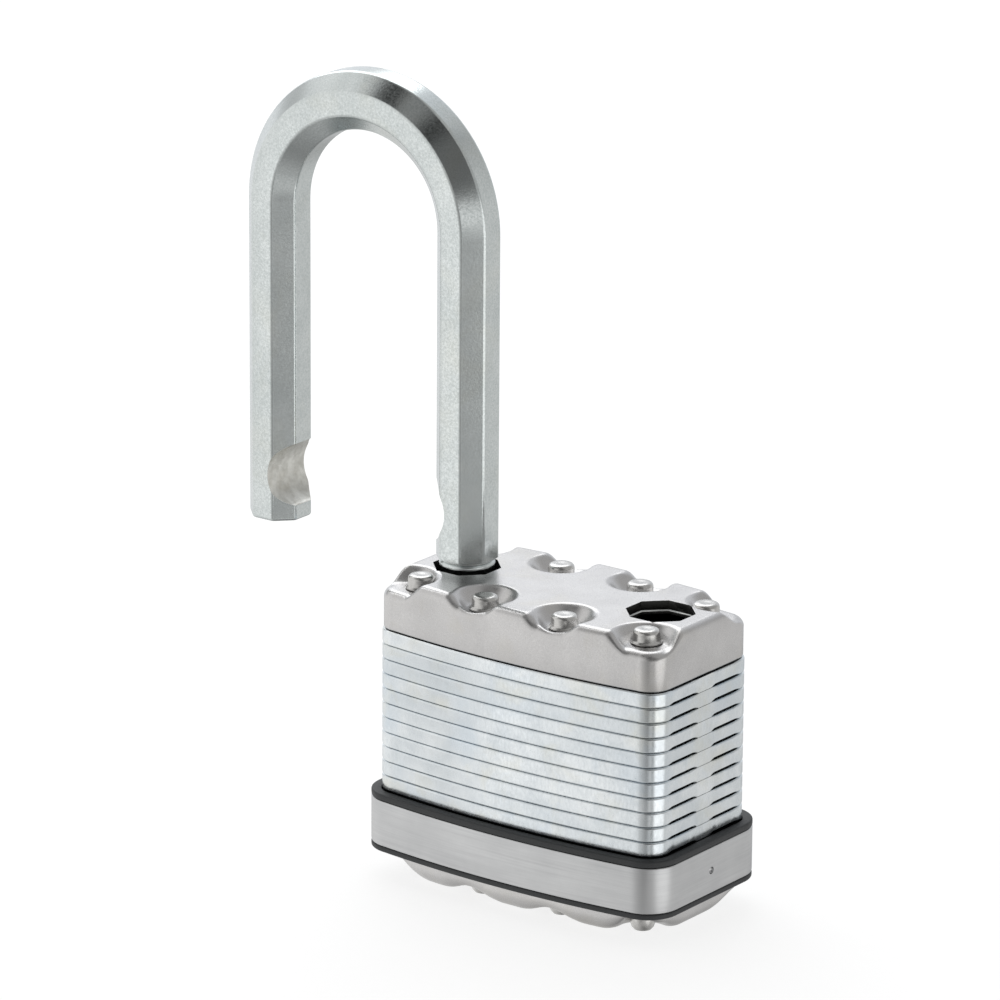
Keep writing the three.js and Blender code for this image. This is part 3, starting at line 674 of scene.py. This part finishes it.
def shackle():
    """The octagonal bar with its bend, both notches, the heel's shoulder and its neck."""
    bm = bmesh.new()
    radius = BAR / 2 / math.cos(math.pi / 8)
    ring = bmesh.ops.create_circle(bm, cap_ends=True, segments=8, radius=radius)["verts"]
    bmesh.ops.rotate(bm, verts=ring, matrix=Matrix.Rotation(math.pi / 8, 3, "Z"))
    bmesh.ops.bevel(bm, geom=ring, offset=0.3, offset_type="OFFSET", segments=3, profile=0.5,
                    affect="VERTICES", material=-1)
    bottom = low_high("shackle")[0].z
    bmesh.ops.translate(bm, verts=bm.verts, vec=(HEEL_X, 0, bottom))
    edges = bm.edges[:]

    def drawn(edges, shift):
        fresh = bmesh.ops.extrude_edge_only(bm, edges=edges)["geom"]
        verts = [g for g in fresh if isinstance(g, bmesh.types.BMVert)]
        bmesh.ops.translate(bm, verts=verts, vec=shift)
        return [g for g in fresh if isinstance(g, bmesh.types.BMEdge) and g.is_boundary], verts

    edges, verts = drawn(edges, (0, 0, ARCH_Z - bottom))
    spun = bmesh.ops.spin(bm, geom=edges + verts, cent=(ARCH_X, 0, ARCH_Z), axis=(0, -1, 0),
                          dvec=(0, 0, 0), angle=math.pi, steps=56, use_merge=False,
                          use_duplicate=False)
    edges = [g for g in spun["geom_last"] if isinstance(g, bmesh.types.BMEdge)]
    edges, verts = drawn(edges, (0, 0, TOE_END_Z + TOE_ROUND - ARCH_Z))
    place = Matrix.Translation((-RAISED_TOE_X, 0, 0))
    part_turn = math.pi / 10
    for step in range(1, 6):
        angle = step * part_turn
        was = BAR / 2 - TOE_ROUND * (1 - math.cos(angle - part_turn))
        now = BAR / 2 - TOE_ROUND * (1 - math.cos(angle))
        down = TOE_ROUND * (math.sin(angle) - math.sin(angle - part_turn))
        edges, verts = drawn(edges, (0, 0, -down))
        bmesh.ops.scale(bm, vec=(now / was, now / was, 1), space=place, verts=verts)
    bmesh.ops.contextual_create(bm, geom=edges)
    bmesh.ops.recalc_face_normals(bm, faces=bm.faces)

    # The bar's corners run out above a round bead, and the shoulder goes on below it
    bead = [(6.5, 2.7), (4.3, 1.4), (3.86, 1.22), (3.84, 1.1), (4.02, 0.95), (4.12, 0.7),
            (4.14, 0.45), (4.08, 0.15)]
    neck = [(4.0, -0.1), (4.0, -2.0), (2.9, -2.0), (2.9, -17.15), (4.0, -17.15), (4.0, -18.9),
            (3.7, bottom - 0.01), (0, bottom - 0.01)]
    outside = [(0, -25), (12, -25), (12, 2.7)]
    cutters = [turned(bead + neck + outside, 64, HEEL_X)]
    notches = (HEEL_X - BAR / 2 - NOTCH_OFFSET, RAISED_TOE_X + BAR / 2 + NOTCH_OFFSET)
    for x in notches:
        cutters.append(cross_drill(NOTCH_RADIUS, x, (-8, 8), NOTCH_Z, 128))
    # Room for the heel ball across the neck
    cutters.append(cross_drill(BALL_CHANNEL, NECK_X, (-8, 8), NECK_Z))
    bm = carve(bm, cutters)

    # Narrow faces are the worn corners of the bar, and so is the notches' rim
    for face in bm.faces:
        if face.calc_area() / max(e.calc_length() for e in face.edges) < 0.14:
            face.material_index = 2
    for x in notches:
        axis = Vector((x, 0, NOTCH_Z))
        for face in bm.faces:
            away = face.calc_center_median() - axis
            away.y = 0
            square_on = abs(face.normal.dot(away.normalized())) > 0.98
            if abs(away.length - NOTCH_RADIUS) < 0.02 and square_on:
                face.material_index = 1
    burr = [e for e in bm.edges if len(e.link_faces) == 2
            and (e.link_faces[0].material_index == 1) != (e.link_faces[1].material_index == 1)]
    for face in soften(bm, burr, 0.09, 1)["faces"]:
        face.material_index = 2
    return bm


bm = shackle()
finish_mesh(bm, "shackle_bar", "shackle", ["shackle"],
            [shackle_finish, notch_finish, worn_edge_and_painted_glint], smooth=35, flats=True)


# Spring on the heel leg ------------------------------------------------------------------

low, high = low_high("shackle_spring")
wire, turns, coil_radius = 0.8, 8, 3.1
bm = bmesh.new()
ring = bmesh.ops.create_circle(bm, cap_ends=False, segments=10, radius=wire / 2)["verts"]
bmesh.ops.rotate(bm, verts=ring, matrix=Matrix.Rotation(math.pi / 2, 3, "X"))
bmesh.ops.translate(bm, verts=ring, vec=(HEEL_X + coil_radius, 0, low.z + wire / 2))
steps = turns * 24
spun = bmesh.ops.spin(bm, geom=ring + bm.edges[:], cent=(HEEL_X, 0, 0), axis=(0, 0, 1),
                      dvec=(0, 0, (high.z - low.z - wire) / steps), angle=turns * 2 * math.pi,
                      steps=steps, use_merge=False, use_duplicate=False)
bmesh.ops.holes_fill(bm, edges=[e for e in bm.edges if e.is_boundary], sides=12)
bmesh.ops.recalc_face_normals(bm, faces=bm.faces)
coil = finish_mesh(bm, "heel_spring", "case", ["shackle_spring"],
                   [spring_finish])
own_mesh(coil)


# Key plug: a chamfered face with a keyway ------------------------------------------------

low, high = (corner.z for corner in low_high("plug"))
PLUG = 5.0
clip_seat = [(PLUG, high - 1.3), (4.2, high - 1.3), (4.2, high - 0.6), (PLUG, high - 0.6)]
body = turned([(0, low), (4.2, low), (4.4, low + 0.12), (4.62, low + 0.12), (PLUG, low + 0.5)]
              + clip_seat + [(PLUG, high), (0, high)], 64)
key_depth = (low - 1, high - 2.9)
cuts = [block((-0.75, 0.75), (-4.4, 3.2), key_depth),
        block((-1.5, 1.5), (-0.6, 0.3), key_depth),
        block((-0.2, 1.2), (1.5, 2.1), key_depth),
        block((-1.2, 0.2), (-3.0, -2.4), key_depth)]
for number in range(1, 6):
    ends = low_high("key_pin_%d" % number)
    cuts.append(cross_drill(1.42, 0, (-0.7, 6), (ends[0].z + ends[1].z) / 2, 32))
# A round recess in the top, with a lug left in it that drives the cam
lug = block((0, PLUG), (0, PLUG), (high - 2, high + 2))
bmesh.ops.rotate(lug, verts=lug.verts, matrix=Matrix.Rotation(math.radians(-135), 3, "Z"))
cuts.append(carve(post(32, 2 * 2.4, 0, 0, high - 1.4, high + 1), [lug]))
bm = carve(body, cuts)
soften(bm, sharp_edges(bm, lambda e: middle(e).z < low + 0.01), 0.12, 2)
finish_mesh(bm, "plug_face", "plug", ["plug"], [brass_finish])


# CAD nodes that keep their own mesh --------------------------------------------------------

# Hidden plates and guards take the near-black paint that stands for the shade down the holes
KEPT = {
    "plate_": guard_painted_shade,
    "top_guard": guard_painted_shade,
    "bottom_guard": guard_painted_shade,
    "heel_retainer": spring_finish,
    "spring_washer": spring_finish,
    "cam_spring": spring_finish,
    "pin_spring": spring_finish,
    "plug_clip": spring_finish,
    "lock_cam": shackle_finish,
    "heel_ball": ball_finish,
    "toe_ball": ball_finish,
    "cylinder_shell": brass_finish,
    "key_pin": brass_finish,
    "driver_pin": brass_finish,
}
# A finish goes to every node whose name starts as given
for name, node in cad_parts.items():
    for start, finish in KEPT.items():
        if name.startswith(start):
            node.data.materials.clear()
            node.data.materials.append(finish)
            break


# Stage, light and camera ---------------------------------------------------------------------

bm = bmesh.new()
bmesh.ops.create_circle(bm, cap_ends=True, segments=96, radius=2.0)
bmesh.ops.translate(bm, verts=bm.verts, vec=(0, 0, (BASE_FACE - 0.05) / 1000))
mesh = bpy.data.meshes.new("floor")
bm.to_mesh(mesh)
bm.free()
floor = bpy.data.objects.new("floor", mesh)
bpy.context.scene.collection.objects.link(floor)
paper, tree, place = start_material("opal_acrylic_backlit_white")
pale = mixed(tree, noise(tree, place, 2.5, 2.0), linear("#8C8C8C"), linear("#909090"))
end_material(tree, pale, 0.9, None, 0.0, Emission_Color=(1, 1, 1, 1), Emission_Strength=0.8)
mesh.materials.append(paper)
floor.visible_glossy = False

world = bpy.data.worlds.new("studio")
bpy.context.scene.world = world
world.use_nodes = True
tree = world.node_tree
tree.nodes.clear()


def toward(azimuth, elevation):
    """A unit vector, azimuth turning from the front (-Y) toward the right (+X)."""
    a, e = math.radians(azimuth), math.radians(elevation)
    return (math.sin(a) * math.cos(e), -math.cos(a) * math.cos(e), math.sin(e))


look = put(tree, "ShaderNodeTexCoord").outputs["Generated"]


def lobe(azimuth, elevation, wide, narrow, value):
    """A soft light or flag: full inside the narrow angle, nothing outside the wide one."""
    facing = put(tree, "ShaderNodeVectorMath", {0: look, 1: toward(azimuth, elevation)},
                 operation="DOT_PRODUCT")
    return ranged(tree, facing.outputs["Value"], math.cos(math.radians(wide)),
                  math.cos(math.radians(narrow)), 0.0, value, interpolation_type="SMOOTHSTEP")


# Cards where the value is positive, dark flags where it is negative
total = maths(tree, "ADD", lobe(-60, -12, 95, 25, 0.50), 0.50)
for light in (lobe(-150, 20, 52, 18, 0.36), lobe(148, -12, 45, 15, 0.24),
              lobe(50, 2, 10, 3, 0.35), lobe(-35, 58, 13, 4, -0.35),
              lobe(-64, 50, 14, 5, 0.20), lobe(-99, 12, 12, 4, -0.35),
              lobe(-20, 66, 40, 15, -0.25), lobe(38, 33, 32, 16, -0.34),
              lobe(8, -14, 30, 18, -0.25), lobe(86, -14, 31, 18, 0.75),
              lobe(52, -18, 26, 14, 0.14), lobe(52, -18, 9, 3, -0.26),
              lobe(-37, -75, 50, 25, -0.25), lobe(-37.5, -17.6, 6, 1.5, 0.22),
              lobe(-44, -17.6, 6, 2, -0.30)):
    total = maths(tree, "ADD", total, light)
total = maths(tree, "MAXIMUM", total, 0.02)
# The camera sees plain white behind the object
seen = put(tree, "ShaderNodeLightPath").outputs["Is Camera Ray"]
level = put(tree, "ShaderNodeMix", {"Factor": seen, "A": total, "B": 1.0},
            data_type="FLOAT").outputs["Result"]
cool = lobe(-150, 20, 60, 20, 1.0)
hue = mixed(tree, cool, (1.0, 0.996, 0.985, 1), (0.94, 0.965, 1.0, 1))
shown = mixed(tree, seen, hue, (1.0, 1.0, 1.0, 1))
backdrop = put(tree, "ShaderNodeBackground", {"Color": shown, "Strength": level})
put(tree, "ShaderNodeOutputWorld", {"Surface": backdrop.outputs["Background"]})

lamp = bpy.data.lights.new("softbox_top", "AREA")
lamp.shape = "DISK"
lamp.size = 0.8
lamp.energy = 2.2
softbox = bpy.data.objects.new("softbox_top", lamp)
bpy.context.scene.collection.objects.link(softbox)
aim = Vector(toward(-125, 47))
softbox.location = aim * 0.8
softbox.rotation_euler = aim.to_track_quat("Z", "Y").to_euler()
softbox.visible_camera = False

camera_data = bpy.data.cameras.new("camera")
camera_data.lens = 255.2
camera_data.clip_start = 0.01
camera_data.clip_end = 20
camera = bpy.data.objects.new("camera", camera_data)
bpy.context.scene.collection.objects.link(camera)
back = Vector(toward(36.593, 17.593))
right = UP.cross(back).normalized()
top = back.cross(right)
roll = math.radians(0.383)
across = right * math.cos(roll) + top * math.sin(roll)
upward = top * math.cos(roll) - right * math.sin(roll)
distance, aside, above = 1.0277, -0.009134, 0.01273
spot = back * distance + across * aside + upward * above
camera.matrix_world = Matrix.Translation(spot) @ Matrix(
    (across, upward, back)).transposed().to_4x4()
bpy.context.scene.camera = camera
bpy.context.scene.view_settings.view_transform = "Standard"
